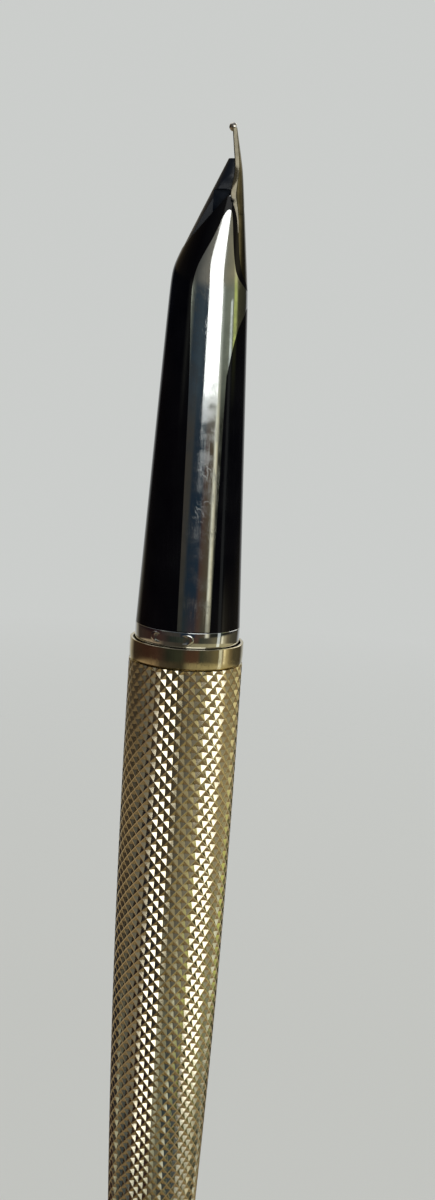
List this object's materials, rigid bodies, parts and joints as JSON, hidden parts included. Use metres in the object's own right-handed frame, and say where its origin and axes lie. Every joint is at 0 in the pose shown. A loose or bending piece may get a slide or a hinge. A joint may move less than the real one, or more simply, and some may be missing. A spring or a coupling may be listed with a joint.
{
  "type": "fountain pen",
  "caption": "Slim fountain pen without its cap: inlaid nib over a black feed, tapered black section with a metal inlay, engraved gilt screw-off barrel, twist converter.",
  "frame": {"origin": "on the pen's axis at the rear edge of the clutch ring, which is the plane of the barrel's mouth", "axes": "+Z along the pen's axis towards the nib; +X towards the nib's upper face; +Y completes the right-handed frame"},
  "size_m": [0.0104, 0.0104, 0.119],
  "materials": {
    "black_resin": "polished",
    "polished_inlay": "polished, finely scratched",
    "nib_gold": "satin plated",
    "tip_alloy": "ground",
    "feed_plastic": "moulded",
    "wick": "pressed fibre",
    "liner_plastic": "moulded",
    "seal_rubber": "soft",
    "chrome": "polished",
    "gilt_smooth": "polished gilt",
    "gilt_engraved": "engraved gilt",
    "brass": "turned",
    "converter_black": "moulded",
    "clear_tube": "clear moulded",
    "ferrule_steel": "satin"
  },
  "bodies": {
    "grip": {"section_shell": "black_resin", "section_trim": "polished_inlay", "nib": "nib_gold", "nib_tip": "tip_alloy", "feed": "feed_plastic", "collector": "feed_plastic", "ink_rod": "wick", "section_liner": "liner_plastic", "nipple": "liner_plastic", "section_gasket": "seal_rubber", "thread_seal": "seal_rubber", "clutch_ring": "chrome", "clutch_lugs": "chrome"},
    "barrel_carrier": {"barrel_liner": "brass"},
    "barrel": {"barrel_ring": "gilt_smooth", "barrel_tube": "gilt_engraved", "barrel_end": "gilt_smooth", "tail_plug": "brass"},
    "converter": {"converter_socket": "converter_black", "converter_tube": "clear_tube", "converter_ferrule": "ferrule_steel", "converter_collar": "converter_black", "agitator_ball": "ferrule_steel"},
    "knob": {"converter_knob": "converter_black", "lead_screw": "ferrule_steel"},
    "piston": {"piston_rod": "converter_black", "piston_head": "converter_black", "piston_seals": "seal_rubber"}
  },
  "joints": [
    {"name": "barrel_draw", "type": "slide", "parent": "grip", "child": "barrel_carrier", "axis": [0, 0, -1], "range_m": [0, 0.075]},
    {"name": "barrel_turn", "type": "hinge", "parent": "barrel_carrier", "child": "barrel", "pos_m": [0, 0, 0], "axis": [0, 0, 1], "continuous": true},
    {"name": "converter_draw", "type": "slide", "parent": "grip", "child": "converter", "axis": [0, 0, -1], "range_m": [0, 0.0052]},
    {"name": "knob_turn", "type": "hinge", "parent": "converter", "child": "knob", "pos_m": [0, 0, -0.055], "axis": [0, 0, 1], "range_deg": [0, 2160.6]},
    {"name": "piston_slide", "type": "slide", "parent": "converter", "child": "piston", "axis": [0, 0, 1], "range_m": [0, 0.018]}
  ],
  "couplings": [
    {"joint": "knob_turn", "follows": "piston_slide", "rad_per_m": 2094.4}
  ]
}
